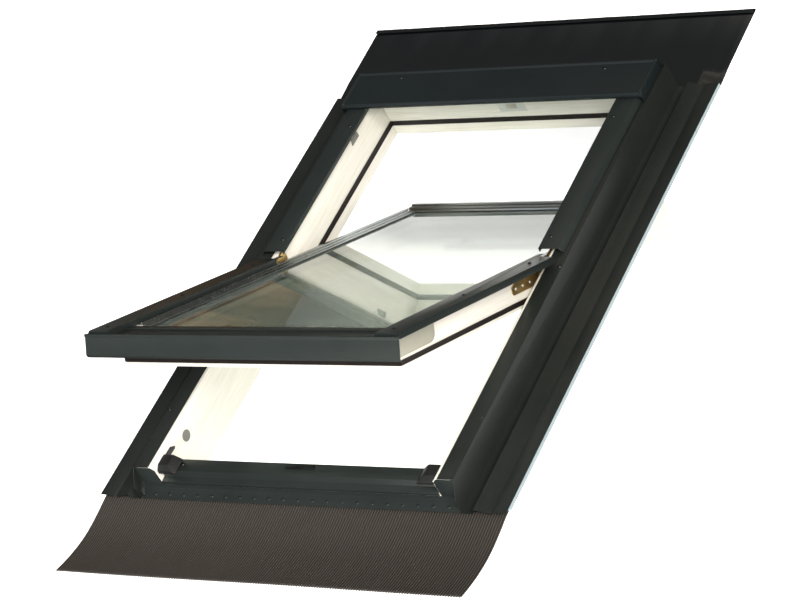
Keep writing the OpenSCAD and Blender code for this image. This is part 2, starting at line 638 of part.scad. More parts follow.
bar_arm_t = 5;
bar_arm_r = 6;
bar_arm = [-24, -12];                              // from the pivot to the bar, in Y and Z
module control_bar() color([0.7, 0.71, 0.72]) sash_pose() {
    c = bracket_pivot + bar_arm;
    translate([0, c.x, c.y]) rod_x(-bar_len / 2, bar_len / 2, bar_d / 2);
    for (side = SIDES) on_side(side) {
        x0 = bar_bracket_x + bar_bracket_w / 2 + 1;
        translate([0, bracket_pivot.x, bracket_pivot.y]) {
            rod_x(x0 - bar_bracket_w - 1, x0 + bar_arm_t, bar_pin_r);
            rod_x(x0, x0 + bar_arm_t, bar_arm_r);
            run_x(x0, x0 + bar_arm_t) polygon([[0, bar_arm_r], bar_arm + [0, bar_arm_r],
                bar_arm - [0, bar_arm_r - 1], [0, -bar_arm_r]]);
        }
    }
}

module latch_bolt() color([0.7, 0.68, 0.6]) sash_pose() latch_shape(0, 0);

frame_left_jamb();
frame_right_jamb();
frame_head();
frame_sill();
frame_seal();
hood_cover();
left_upper_cover();
right_upper_cover();
sill_cover();
left_side_flashing();
right_side_flashing();
head_flashing();
apron_flashing();
apron_skirt();
left_foam_strip();
right_foam_strip();
left_corner_block();
right_corner_block();
jamb_bushes();
jamb_stops();
sill_striker();
head_striker();
left_frame_hinge();
right_frame_hinge();
cover_screws();
left_lower_bracket();
right_lower_bracket();
left_upper_bracket();
right_upper_bracket();
bracket_screws();
sash_left_stile();
sash_right_stile();
sash_top_rail();
sash_bottom_rail();
outer_pane();
inner_pane();
pane_spacer();
inner_glazing_gasket();
outer_glazing_gasket();
left_bead();
right_bead();
top_bead();
bottom_bead();
left_sash_cladding();
right_sash_cladding();
bottom_cladding();
left_corner_cap();
right_corner_cap();
sash_seal();
left_sash_hinge();
right_sash_hinge();
sash_screws();
bar_brackets();
control_bar();
latch_bolt();
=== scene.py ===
import json
import math

import bmesh
import bpy
from mathutils import Matrix, Vector

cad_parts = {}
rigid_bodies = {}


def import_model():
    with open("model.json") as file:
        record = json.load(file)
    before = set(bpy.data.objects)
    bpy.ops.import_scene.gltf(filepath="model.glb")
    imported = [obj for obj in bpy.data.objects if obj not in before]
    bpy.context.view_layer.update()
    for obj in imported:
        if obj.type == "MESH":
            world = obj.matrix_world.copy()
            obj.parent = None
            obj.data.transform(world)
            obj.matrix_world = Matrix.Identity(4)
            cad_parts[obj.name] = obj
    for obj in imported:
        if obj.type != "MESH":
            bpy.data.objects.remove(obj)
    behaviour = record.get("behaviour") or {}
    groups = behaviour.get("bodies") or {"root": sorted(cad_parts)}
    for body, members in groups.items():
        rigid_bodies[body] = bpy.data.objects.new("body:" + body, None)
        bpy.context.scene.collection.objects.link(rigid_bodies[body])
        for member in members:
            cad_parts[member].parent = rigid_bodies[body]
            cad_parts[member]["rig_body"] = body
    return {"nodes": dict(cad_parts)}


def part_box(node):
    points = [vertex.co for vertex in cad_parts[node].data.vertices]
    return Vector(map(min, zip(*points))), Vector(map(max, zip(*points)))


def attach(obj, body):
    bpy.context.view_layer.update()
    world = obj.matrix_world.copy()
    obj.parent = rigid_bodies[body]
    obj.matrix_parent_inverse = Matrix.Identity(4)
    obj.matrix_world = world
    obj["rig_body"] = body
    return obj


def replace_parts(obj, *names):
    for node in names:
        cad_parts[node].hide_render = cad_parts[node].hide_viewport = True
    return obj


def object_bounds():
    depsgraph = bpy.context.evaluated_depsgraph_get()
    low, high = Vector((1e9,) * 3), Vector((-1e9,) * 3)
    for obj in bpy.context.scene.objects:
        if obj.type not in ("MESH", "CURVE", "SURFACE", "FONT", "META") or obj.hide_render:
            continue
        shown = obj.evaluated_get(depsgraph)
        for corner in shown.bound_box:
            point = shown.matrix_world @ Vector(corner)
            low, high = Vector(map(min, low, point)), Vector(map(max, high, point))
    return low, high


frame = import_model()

cad_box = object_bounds()
scene = bpy.context.scene

# ---------------------------------------------------------------------------------------------
# The studio: a pale, faintly glowing floor under hazy sun and soft daylight, and a camera that
# stands upright as if the window were built into a roof pitched at about 44 degrees.
# ---------------------------------------------------------------------------------------------


def add_node(tree, kind, settings=None, links=None):
    """Adds one node: its settings by name, and a value or another node's socket for each input."""
    node = tree.nodes.new(kind)
    for name, value in (settings or {}).items():
        setattr(node, name, value)
    for key, value in (links or {}).items():
        if isinstance(value, bpy.types.NodeSocket):
            tree.links.new(value, node.inputs[key])
        else:
            node.inputs[key].default_value = value
    return node


def linear(colour):
    """An sRGB hex colour as linear red, green, blue and alpha."""
    parts = [int(colour[i:i + 2], 16) / 255 for i in (1, 3, 5)]
    return [c / 12.92 if c <= 0.04045 else ((c + 0.055) / 1.055) ** 2.4 for c in parts] + [1]


def new_material(name):
    """An empty node material and its output node."""
    material = bpy.data.materials.new(name)
    material.use_nodes = True
    material.node_tree.nodes.clear()
    return material, add_node(material.node_tree, "ShaderNodeOutputMaterial")


def lit_floor():
    """Opal acrylic over a lamp: a plain pale floor that stays white in the shade of the window.
    It throws no light back on the matt underside of the window."""
    material, output = new_material("floor, opal acrylic, lit from below")
    tree = material.node_tree
    place = add_node(tree, "ShaderNodeTexCoord").outputs["Object"]
    mottle = add_node(tree, "ShaderNodeTexNoise", links={"Vector": place, "Scale": 3.0, "Detail": 3.0})
    tone = add_node(tree, "ShaderNodeMix", {"data_type": "RGBA"},
                    {0: mottle.outputs["Fac"], 6: linear("#F9F9F8"), 7: linear("#FDFDFC")})
    matt_ray = add_node(tree, "ShaderNodeLightPath").outputs["Is Diffuse Ray"]
    lamp = add_node(tree, "ShaderNodeMapRange", links={"Value": matt_ray, "To Min": 0.8, "To Max": 0.0})
    acrylic = add_node(tree, "ShaderNodeBsdfPrincipled", links={
        "Base Color": tone.outputs[2], "Roughness": 0.9, "Specular IOR Level": 0.1,
        "Emission Color": linear("#FFFFFF"), "Emission Strength": lamp.outputs[0]})
    tree.links.new(acrylic.outputs[0], output.inputs["Surface"])
    return material


floor_half = 14.0
floor_drop = 0.002
floor_z = cad_box[0][2] - floor_drop
floor_mesh = bpy.data.meshes.new("studio_floor")
floor_mesh.from_pydata([(x, y, floor_z) for x, y in ((-floor_half, -floor_half), (floor_half, -floor_half),
                                                     (floor_half, floor_half), (-floor_half, floor_half))],
                       [], [(0, 1, 2, 3)])
floor_mesh.materials.append(lit_floor())
floor = bpy.data.objects.new("studio_floor", floor_mesh)
scene.collection.objects.link(floor)


def daylight():
    """Soft daylight: dull and brownish near the horizon, bright overhead."""
    world = bpy.data.worlds.new("soft daylight")
    world.use_nodes = True
    tree = world.node_tree
    tree.nodes.clear()
    way = add_node(tree, "ShaderNodeTexCoord").outputs["Generated"]
    height = add_node(tree, "ShaderNodeSeparateXYZ", links={0: way}).outputs["Z"]
    shade = add_node(tree, "ShaderNodeValToRGB", links={"Fac": height})
    stops = shade.color_ramp.elements
    stops[0].position, stops[0].color = 0.0, linear("#6E6B66")
    stops[1].position, stops[1].color = 1.0, linear("#FFFFFF")
    middle_stop = stops.new(0.72)
    middle_stop.color = linear("#8C8C8A")
    light = add_node(tree, "ShaderNodeBackground", links={"Color": shade.outputs[0], "Strength": 0.55})
    add_node(tree, "ShaderNodeOutputWorld", links={"Surface": light.outputs[0]})
    return world


scene.world = daylight()
roof_up = Vector((0, 0.719, 0.695))
middle = Vector((0, 0, 0.05))


def facing_middle(thing, place):
    """Puts a lamp somewhere and turns it to the middle of the window."""
    thing.location = place
    thing.rotation_euler = (middle - Vector(place)).to_track_quat("-Z", "Y").to_euler()
    scene.collection.objects.link(thing)


sun = bpy.data.lights.new("hazy_sun", "SUN")
sun.energy = 4.6
sun.angle = math.radians(30)
sun.color = linear("#FFF9F0")[:3]
facing_middle(bpy.data.objects.new("hazy_sun", sun), (3.4, -2.2, 3.6))


def soft_box(name, place, size, watts, colour):
    """A square soft box that faces the middle of the window."""
    lamp = bpy.data.lights.new(name, "AREA")
    lamp.size = size
    lamp.energy = watts
    lamp.color = linear(colour)[:3]
    facing_middle(bpy.data.objects.new(name, lamp), place)


soft_box("fill_soft_box", (-3.4, -3.0, 3.0), 2.6, 30, "#EEF4FF")
soft_box("front_soft_box", (0.7, -4.4, 0.4), 2.0, 170, "#FFFCF8")


def mottled_glow(name, patch, colours, strength):
    """Soft glowing patches of three colours: a painted reflection of things out of the picture, as they
    look in a mirror.
    """
    material, output = new_material(name)
    tree = material.node_tree
    place = add_node(tree, "ShaderNodeTexCoord").outputs["Object"]
    patches = add_node(tree, "ShaderNodeTexNoise", links={
        "Vector": place, "Scale": 1 / patch, "Detail": 3.0, "Distortion": 0.6})
    shade = add_node(tree, "ShaderNodeValToRGB", links={"Fac": patches.outputs["Fac"]})
    stops = shade.color_ramp.elements
    stops[0].position, stops[0].color = 0.36, linear(colours[0])
    stops[1].position, stops[1].color = 0.66, linear(colours[2])
    between = stops.new(0.5)
    between.color = linear(colours[1])
    glow = add_node(tree, "ShaderNodeEmission", links={"Color": shade.outputs[0], "Strength": strength})
    tree.links.new(glow.outputs[0], output.inputs["Surface"])
    return material


def mirrored_card(name, corners, material):
    """A glowing card that shows only in the glass and in glossy coats, where it paints a reflection."""
    mesh = bpy.data.meshes.new(name)
    mesh.from_pydata(corners, [], [tuple(range(len(corners)))])
    mesh.materials.append(material)
    card = bpy.data.objects.new(name, mesh)
    card.visible_camera = card.visible_diffuse = card.visible_shadow = False
    scene.collection.objects.link(card)
    return card


# Painted reflection of a garden: a dark, mottled glowing card round the head and the left of the window,
# level with the back of the frame.
timber_low, timber_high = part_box("frame_left_jamb")
garden_left, garden_right, garden_near, garden_far = -5.0, 3.0, -2.5, 5.0
garden_z = timber_low.z
side_edge, head_edge = timber_low.x, timber_high.y
garden_outline = [(garden_left, garden_near), (side_edge, garden_near), (side_edge, head_edge),
                  (garden_right, head_edge), (garden_right, garden_far), (garden_left, garden_far)]
mirrored_card(
    "painted_garden_reflection_card", [(x, y, garden_z) for x, y in garden_outline],
    mottled_glow("painted garden reflection, mottled glow", 0.6, ("#0C1011", "#352D24", "#9A7C5C"), 0.8))
# Painted reflection of a warm wall: a glowing card above the head, which the coats on the right-hand side
# of the window mirror, so that they show lighter.
wall_left, wall_right, wall_near, wall_far, wall_z = -0.45, 0.75, 0.0, 1.15, 0.85
wall_outline = [(wall_left, wall_near), (wall_right, wall_near),
                (wall_right, wall_far), (wall_left, wall_far)]
wall_reflection_card = mirrored_card("painted_wall_reflection_card", [(x, y, wall_z) for x, y in wall_outline],
                     mottled_glow("painted wall reflection, mottled glow", 0.25, ("#6A665E", "#8A8478", "#BDB4A2"), 2.2))
wall_reflection_card.visible_transmission = False

lens_mm = 137.0
sensor_mm = 36.0
camera_place = Vector((3.653, -3.724, 3.823))
camera_view = Vector((-0.5451, 0.5829, -0.6027)).normalized()
camera_right = camera_view.cross(roof_up).normalized()
camera_up = camera_right.cross(camera_view)
camera_data = bpy.data.cameras.new("camera")
camera_data.sensor_width = sensor_mm
camera_data.lens = lens_mm
camera_data.shift_x = -0.1129
camera_data.shift_y = -0.0065
camera = bpy.data.objects.new("camera", camera_data)
turn = Matrix((camera_right, camera_up, -camera_view)).transposed().to_4x4()
camera.matrix_world = Matrix.Translation(camera_place) @ turn
scene.collection.objects.link(camera)
scene.camera = camera
scene.view_settings.view_transform = "Standard"

# ---------------------------------------------------------------------------------------------
# The window frame: two jambs, a head and a stepped sill in planed pine, glued and screwed at the
# corners, with their edges eased and three coats of white satin lacquer sprayed on.
# ---------------------------------------------------------------------------------------------


def lacquered_pine(name, grain):
    """White satin lacquer on pine: a soft sheen over faint raised grain that runs along the piece."""
    material, output = new_material(name)
    tree = material.node_tree
    place = add_node(tree, "ShaderNodeTexCoord").outputs["Object"]
    along = 9.0          # grain figure about 110 mm long
    across = 330.0       # growth rings about 3 mm apart
    scale = {"X": (along, across, across), "Y": (across, along, across)}[grain[0]]
    lie = add_node(tree, "ShaderNodeMapping", {"vector_type": "POINT"},
                   {"Vector": place, "Rotation": (math.radians(grain[1]), 0, 0)})
    stretch = add_node(tree, "ShaderNodeMapping", {"vector_type": "POINT"},
                       {"Vector": lie.outputs[0], "Scale": scale})
    rings = add_node(tree, "ShaderNodeTexNoise", links={"Vector": stretch.outputs[0], "Scale": 1.0,
                                                        "Detail": 4.0, "Roughness": 0.6})
    brushing = add_node(tree, "ShaderNodeTexNoise", links={"Vector": lie.outputs[0], "Scale": 14.0,
                                                           "Detail": 3.0})
    tone = add_node(tree, "ShaderNodeValToRGB", links={"Fac": rings.outputs["Fac"]})
    tone.color_ramp.elements[0].position = 0.3
    tone.color_ramp.elements[0].color = linear("#D6D2C8")
    tone.color_ramp.elements[1].position = 0.6
    tone.color_ramp.elements[1].color = linear("#E4E2DC")
    sheen = add_node(tree, "ShaderNodeMapRange", links={"Value": brushing.outputs["Fac"],
                                                        "To Min": 0.30, "To Max": 0.46})
    relief = add_node(tree, "ShaderNodeBump", links={"Height": rings.outputs["Fac"], "Strength": 0.35,
                                                     "Distance": 0.0004})
    lacquer = add_node(tree, "ShaderNodeBsdfPrincipled", links={
        "Base Color": tone.outputs[0], "Roughness": sheen.outputs[0], "Normal": relief.outputs[0],
        "IOR": 1.48, "Coat Weight": 0.25, "Coat Roughness": 0.2})
    tree.links.new(lacquer.outputs[0], output.inputs["Surface"])
    return material


def eased_copy(node, material, radius, rounds=2, smooth=28):
    """The CAD piece with its sharp edges rounded to a radius and its flats made single faces.
    It stands for the CAD node and rides on the same body."""
    source = frame["nodes"][node]
    mesh = source.data.copy()
    mesh.name = node + "_eased"
    shape = bmesh.new()
    shape.from_mesh(mesh)
    bmesh.ops.remove_doubles(shape, verts=shape.verts, dist=2e-6)
    bmesh.ops.dissolve_limit(shape, angle_limit=math.radians(0.6), verts=shape.verts, edges=shape.edges)
    shape.to_mesh(mesh)
    shape.free()
    mesh.materials.clear()
    mesh.materials.append(material)
    piece = bpy.data.objects.new(node + "_eased", mesh)
    scene.collection.objects.link(piece)
    if radius:
        rounding = piece.modifiers.new("eased edges", "BEVEL")
        rounding.width = radius
        rounding.segments = rounds
        rounding.limit_method = "ANGLE"
        rounding.angle_limit = math.radians(28)
        rounding.miter_outer = "MITER_ARC"
        made = bpy.data.meshes.new_from_object(piece.evaluated_get(bpy.context.evaluated_depsgraph_get()))
        piece.modifiers.clear()
        piece.data = made
        made.name = node + "_eased"
    piece.data.shade_smooth()
    piece.data.set_sharp_from_angle(angle=math.radians(smooth))
    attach(piece, source["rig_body"])
    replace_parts(piece, node)
    return piece


jamb_lacquer = lacquered_pine("white satin lacquer on pine, grain up the slope", ("Y", 0))
head_lacquer = lacquered_pine("white satin lacquer on pine, grain across", ("X", 0))
timber_edge = 0.0012
for node in ("frame_left_jamb", "frame_right_jamb"):
    eased_copy(node, jamb_lacquer, timber_edge)
for node in ("frame_head", "frame_sill"):
    eased_copy(node, head_lacquer, timber_edge)

# ---------------------------------------------------------------------------------------------
# Small fittings on the frame: brown tube seals pressed into a groove, black rubber blocks that
# close the sill corners, grey nylon bushes and stops, and strikers of pressed steel.
# ---------------------------------------------------------------------------------------------


def moulded(name, dark, light, roughness, grit_mm, relief_mm, **more):
    """A moulded or extruded plastic or rubber: even colour with a fine skin from the mould."""
    material, output = new_material(name)
    tree = material.node_tree
    place = add_node(tree, "ShaderNodeTexCoord").outputs["Object"]
    skin = add_node(tree, "ShaderNodeTexNoise", links={"Vector": place, "Scale": 1000 / grit_mm,
                                                       "Detail": 3.0})
    cloud = add_node(tree, "ShaderNodeTexNoise", links={"Vector": place, "Scale": 25.0, "Detail": 4.0})
    tone = add_node(tree, "ShaderNodeMix", {"data_type": "RGBA"},
                    {0: cloud.outputs["Fac"], 6: linear(dark), 7: linear(light)})
    worn = add_node(tree, "ShaderNodeMapRange", links={
        "Value": cloud.outputs["Fac"], "To Min": roughness - 0.07, "To Max": roughness + 0.07})
    relief = add_node(tree, "ShaderNodeBump", links={"Height": skin.outputs["Fac"], "Strength": 0.5,
                                                     "Distance": relief_mm / 1000})
    body = add_node(tree, "ShaderNodeBsdfPrincipled", links={
        "Base Color": tone.outputs[2], "Roughness": worn.outputs[0], "Normal": relief.outputs[0], **more})
    tree.links.new(body.outputs[0], output.inputs["Surface"])
    return material


def dress(node, material):
    """Gives a CAD piece its material and leaves its shape as it is."""
    mesh = frame["nodes"][node].data
    mesh.materials.clear()
    mesh.materials.append(material)


# Extruded EPDM rubber, brown: soft sheen, fine drawn skin.
brown_rubber = moulded("brown EPDM seal, extruded", "#0B0604", "#150C08", 0.6, 1.2, 0.05,
                       **{"Specular IOR Level": 0.25})
dress("frame_seal", brown_rubber)
# Moulded EPDM rubber, black: dull with a slight bloom.
black_rubber = moulded("black EPDM rubber, moulded", "#040506", "#0A0C0D", 0.58, 1.5, 0.08)
for side in ("left", "right"):
    eased_copy(side + "_corner_block", black_rubber, 0.0018, rounds=3)
# Glass-filled nylon, grey: faintly speckled and matt.
grey_nylon = moulded("grey nylon, injection moulded", "#5F615E", "#737571", 0.55, 0.8, 0.04)
eased_copy("jamb_bushes", grey_nylon, 0.0004)
eased_copy("jamb_stops", grey_nylon, 0.0006)


def plated_steel(name, dark, light, roughness, metallic=1.0):
    """Zinc-plated pressed steel: a bright metal clouded by the passivation, with fine drawing lines."""
    material, output = new_material(name)
    tree = material.node_tree
    place = add_node(tree, "ShaderNodeTexCoord").outputs["Object"]
    cloud = add_node(tree, "ShaderNodeTexNoise", links={"Vector": place, "Scale": 70.0, "Detail": 5.0,
                                                        "Roughness": 0.65})
    tone = add_node(tree, "ShaderNodeMix", {"data_type": "RGBA"},
                    {0: cloud.outputs["Fac"], 6: linear(dark), 7: linear(light)})
    worn = add_node(tree, "ShaderNodeMapRange", links={
        "Value": cloud.outputs["Fac"], "To Min": roughness - 0.08, "To Max": roughness + 0.12})
    relief = add_node(tree, "ShaderNodeBump", links={"Height": cloud.outputs["Fac"], "Strength": 0.25,
                                                     "Distance": 0.0003})
    metal = add_node(tree, "ShaderNodeBsdfPrincipled", links={
        "Base Color": tone.outputs[2], "Metallic": metallic, "Roughness": worn.outputs[0],
        "Normal": relief.outputs[0]})
    tree.links.new(metal.outputs[0], output.inputs["Surface"])
    return material


bright_zinc = plated_steel("pressed steel, bright zinc plate", "#C9CBCA", "#E2E3E1", 0.46)
dark_steel = plated_steel("steel, dark passivated zinc", "#2C2F30", "#454848", 0.42)
eased_copy("head_striker", bright_zinc, 0.0004)
eased_copy("sill_striker", dark_steel, 0.0008)

# ---------------------------------------------------------------------------------------------
# Mounting brackets: four steel angles, cut and folded from 2.5 mm zinc-plated strip, each screwed
# to the outside of a jamb by two pan-head screws and drilled for one screw into the roof timber.
# ---------------------------------------------------------------------------------------------

for side in ("left", "right"):
    for place in ("lower", "upper"):
        eased_copy(f"{side}_{place}_bracket", bright_zinc, 0.0005)


def screw_tree(material):
    """Geometry nodes that set a pan-head screw with a cross recess on each point of a mesh.
    Each point's facing attribute says which way the head looks."""
    tree = bpy.data.node_groups.new("pan-head screws", "GeometryNodeTree")
    for name, kind in (("Screw places", "NodeSocketGeometry"), ("Head radius", "NodeSocketFloat"),
                       ("Head height", "NodeSocketFloat"), ("Recess width", "NodeSocketFloat")):
        tree.interface.new_socket(name, in_out="INPUT", socket_type=kind)
    tree.interface.new_socket("Screws", in_out="OUTPUT", socket_type="NodeSocketGeometry")
    given = add_node(tree, "NodeGroupInput").outputs
    head_radius, head_height, recess = given["Head radius"], given["Head height"], given["Recess width"]
    crown = add_node(tree, "ShaderNodeMath", {"operation": "MULTIPLY"}, {0: head_radius, 1: 0.68})
    head = add_node(tree, "GeometryNodeMeshCone", links={
        "Vertices": 24, "Radius Top": crown.outputs[0], "Radius Bottom": head_radius, "Depth": head_height})
    arm = add_node(tree, "ShaderNodeMath", {"operation": "MULTIPLY"}, {0: head_radius, 1: 1.05})
    bars = [add_node(tree, "ShaderNodeCombineXYZ", links={"X": wide, "Y": long, "Z": head_height})
            for wide, long in ((arm.outputs[0], recess), (recess, arm.outputs[0]))]
    cutters = [add_node(tree, "GeometryNodeMeshCube", links={"Size": bar.outputs[0]}) for bar in bars]
    lift = add_node(tree, "ShaderNodeMath", {"operation": "MULTIPLY"}, {0: head_height, 1: 0.95})
    up = add_node(tree, "ShaderNodeCombineXYZ", links={"Z": lift.outputs[0]})
    raised = [add_node(tree, "GeometryNodeTransform", links={
        "Geometry": cutter.outputs["Mesh"], "Translation": up.outputs[0]}) for cutter in cutters]
    cut = add_node(tree, "GeometryNodeMeshBoolean", {"operation": "DIFFERENCE", "solver": "EXACT"},
                   {"Mesh 1": head.outputs["Mesh"]})
    for r in raised:
        tree.links.new(r.outputs[0], cut.inputs["Mesh 2"])
    facing = add_node(tree, "GeometryNodeInputNamedAttribute", {"data_type": "FLOAT_VECTOR"},
                      {"Name": "facing"})
    aim = add_node(tree, "FunctionNodeAlignRotationToVector", {"axis": "Z"},
                   {"Vector": facing.outputs["Attribute"]})
    driven = add_node(tree, "FunctionNodeRandomValue", {"data_type": "FLOAT"},
                      {"Min": 0.0, "Max": math.pi / 2, "Seed": 7})
    spin = add_node(tree, "ShaderNodeCombineXYZ", links={"Z": driven.outputs[1]})
    turned = add_node(tree, "FunctionNodeRotateRotation", {"rotation_space": "LOCAL"},
                      {"Rotation": aim.outputs[0], "Rotate By": spin.outputs[0]})
    placed = add_node(tree, "GeometryNodeInstanceOnPoints", links={
        "Points": given["Screw places"], "Instance": cut.outputs["Mesh"], "Rotation": turned.outputs[0]})
    real = add_node(tree, "GeometryNodeRealizeInstances", links={"Geometry": placed.outputs[0]})
    finish = add_node(tree, "GeometryNodeSetMaterial", links={"Geometry": real.outputs[0],
                                                              "Material": material})
    add_node(tree, "NodeGroupOutput", links={"Screws": finish.outputs[0]})
    return tree


def from_tree(name, tree, base, sizes, body, smooth=30):
    """Runs a geometry-nodes tree on a base mesh and keeps the result as a plain mesh piece."""
    piece = bpy.data.objects.new(name, base)
    scene.collection.objects.link(piece)
    made_by = piece.modifiers.new(name, "NODES")
    made_by.node_group = tree
    sockets = {s.name: s.identifier for s in tree.interface.items_tree if s.in_out == "INPUT"}
    for size, value in sizes.items():
        made_by[sockets[size]] = value
    made = bpy.data.meshes.new_from_object(piece.evaluated_get(bpy.context.evaluated_depsgraph_get()))
    piece.modifiers.clear()
    piece.data = made
    made.name = name
    made.shade_smooth()
    made.set_sharp_from_angle(angle=math.radians(smooth))
    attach(piece, body)
    return piece


def set_screws(name, places, ways, body, tree):
    """Sets a screw on each place, with its head looking its own way."""
    order = sorted(range(len(places)), key=lambda i: tuple(round(c, 4) for c in places[i]))
    base = bpy.data.meshes.new(name + "_places")
    base.from_pydata([places[i] for i in order], [], [])
    facing = base.attributes.new("facing", "FLOAT_VECTOR", "POINT")
    facing.data.foreach_set("vector", [c for i in order for c in ways[i]])
    sizes = {"Head radius": 0.004, "Head height": 0.0016, "Recess width": 0.0011}
    return from_tree(name, tree, base, sizes, body)


def screw_heads(node, facing_of, tree):
    """Sets a screw on the foot of each of a CAD node's plain screw heads, which it replaces."""
    shape = bmesh.new()
    shape.from_mesh(frame["nodes"][node].data)
    bmesh.ops.remove_doubles(shape, verts=shape.verts, dist=2e-6)
    left, places, ways = set(shape.verts), [], []
    while left:
        island, edge_of = set(), [left.pop()]
        while edge_of:
            vert = edge_of.pop()
            island.add(vert)
            near = {e.other_vert(vert) for e in vert.link_edges} & left
            left -= near
            edge_of += near
        centre = sum((v.co for v in island), Vector()) / len(island)
        way = facing_of(centre).normalized()
        foot = min((v.co - centre).dot(way) for v in island)
        places.append(centre + way * foot)
        ways.append(way)
    shape.free()
    body = frame["nodes"][node]["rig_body"]
    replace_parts(set_screws(node + "_driven", places, ways, body, tree), node)


zinc_screws = screw_tree(bright_zinc)
screw_heads("bracket_screws", lambda place: Vector((place.x, 0, 0)), zinc_screws)

# ---------------------------------------------------------------------------------------------
# The flashing: side gutters, head sheet and apron, roll-formed and folded from 1 mm aluminium
# with a dark baked coat, hooked into one another, with pale foam strips under the outer edges.
# ---------------------------------------------------------------------------------------------


def coated_sheet(name, dark, light, roughness, dent_mm, coat=0.0, dust="#000000", dust_share=0.0):
    """Folded aluminium with a baked polyester coat: an even dark film with fine orange peel, which
    a long, shallow waviness of the sheet makes shimmer, and a little dust."""
    material, output = new_material(name)
    tree = material.node_tree
    place = add_node(tree, "ShaderNodeTexCoord").outputs["Object"]
    peel = add_node(tree, "ShaderNodeTexNoise", links={"Vector": place, "Scale": 420.0, "Detail": 2.0})
    cloud = add_node(tree, "ShaderNodeTexNoise", links={"Vector": place, "Scale": 7.0, "Detail": 5.0,
                                                        "Roughness": 0.6})
    waves = add_node(tree, "ShaderNodeTexNoise", links={"Vector": place, "Scale": 4.5, "Detail": 1.0})
    film = add_node(tree, "ShaderNodeMix", {"data_type": "RGBA"},
                    {0: cloud.outputs["Fac"], 6: linear(dark), 7: linear(light)})
    specks = add_node(tree, "ShaderNodeTexNoise", links={"Vector": place, "Scale": 160.0, "Detail": 6.0,
                                                         "Roughness": 0.75})
    thin = add_node(tree, "ShaderNodeMapRange", links={"Value": specks.outputs["Fac"], "From Min": 0.55,
                                                       "From Max": 0.8, "To Max": dust_share})
    dusty = add_node(tree, "ShaderNodeMix", {"data_type": "RGBA"},
                     {0: thin.outputs[0], 6: film.outputs[2], 7: linear(dust)})
    worn = add_node(tree, "ShaderNodeMapRange", links={
        "Value": cloud.outputs["Fac"], "To Min": roughness - 0.06, "To Max": roughness + 0.08})
    dents = add_node(tree, "ShaderNodeBump", links={"Height": waves.outputs["Fac"], "Strength": 1.0,
                                                    "Distance": dent_mm / 1000})
    relief = add_node(tree, "ShaderNodeBump", links={"Height": peel.outputs["Fac"], "Strength": 0.3,
                                                     "Distance": 0.0001, "Normal": dents.outputs[0]})
    sheet = add_node(tree, "ShaderNodeBsdfPrincipled", links={
        "Base Color": dusty.outputs[2], "Roughness": worn.outputs[0], "Normal": relief.outputs[0],
        "IOR": 1.45, "Specular IOR Level": 0.35, "Coat Weight": coat, "Coat Roughness": 0.12})
    tree.links.new(sheet.outputs[0], output.inputs["Surface"])
    return material


def ripple_hem(piece, reach, depth):
    """Ripples the back edge of a sheet, as a folded hem goes when it is handled. The ripples die
    away over the reach, and only pull the edge in."""
    high_y = max(v.co.y for v in piece.data.vertices)
    half = max(v.co.x for v in piece.data.vertices)
    shape = bmesh.new()
    shape.from_mesh(piece.data)
    strips = 64
    for i in range(1, strips):
        bmesh.ops.bisect_plane(shape, geom=shape.verts[:] + shape.edges[:] + shape.faces[:], dist=1e-6,
                               plane_co=(-half + 2 * half * i / strips, 0, 0), plane_no=(1, 0, 0))
    for vert in shape.verts:
        share = max(0.0, 1 - (high_y - vert.co.y) / reach) ** 2
        x = vert.co.x
        wave = (0.5 + 0.25 * math.sin(31 * x + 0.7) + 0.17 * math.sin(67 * x + 2.1)
                + 0.08 * math.sin(131 * x))
        vert.co.y -= depth * share * wave
        vert.co.z -= depth * 0.6 * share * (1 - wave)
    shape.to_mesh(piece.data)
    shape.free()
    piece.data.set_sharp_from_angle(angle=math.radians(28))


side_coat = coated_sheet("side flashing, dark grey baked coat", "#181B1B", "#232725", 0.34, 2.0,
                         dust="#62635E", dust_share=0.08)
head_coat = coated_sheet("head flashing, glossy dark baked coat", "#090C0E", "#0F1315", 0.16, 4.0, coat=0.6)
fold_radius = 0.00045
for side in ("left", "right"):
    eased_copy(side + "_side_flashing", side_coat, fold_radius)
head_sheet = eased_copy("head_flashing", head_coat, fold_radius)
ripple_hem(head_sheet, reach=0.12, depth=0.0035)
# Closed-cell polyethylene foam, bluish white: matt with fine open pores where it was cut.
foam = moulded("pale polyethylene foam, cut", "#8C9DA6", "#A2B1B8", 0.9, 2.2, 0.5)
for side in ("left", "right"):
    eased_copy(side + "_foam_strip", foam, 0.0008)

# ---------------------------------------------------------------------------------------------
# The apron skirt: thin aluminium run between toothed rollers into fine pleats down the slope, so
# that it can be dressed by hand over the tiles. It dips behind the apron and lifts at its edge.
# ---------------------------------------------------------------------------------------------


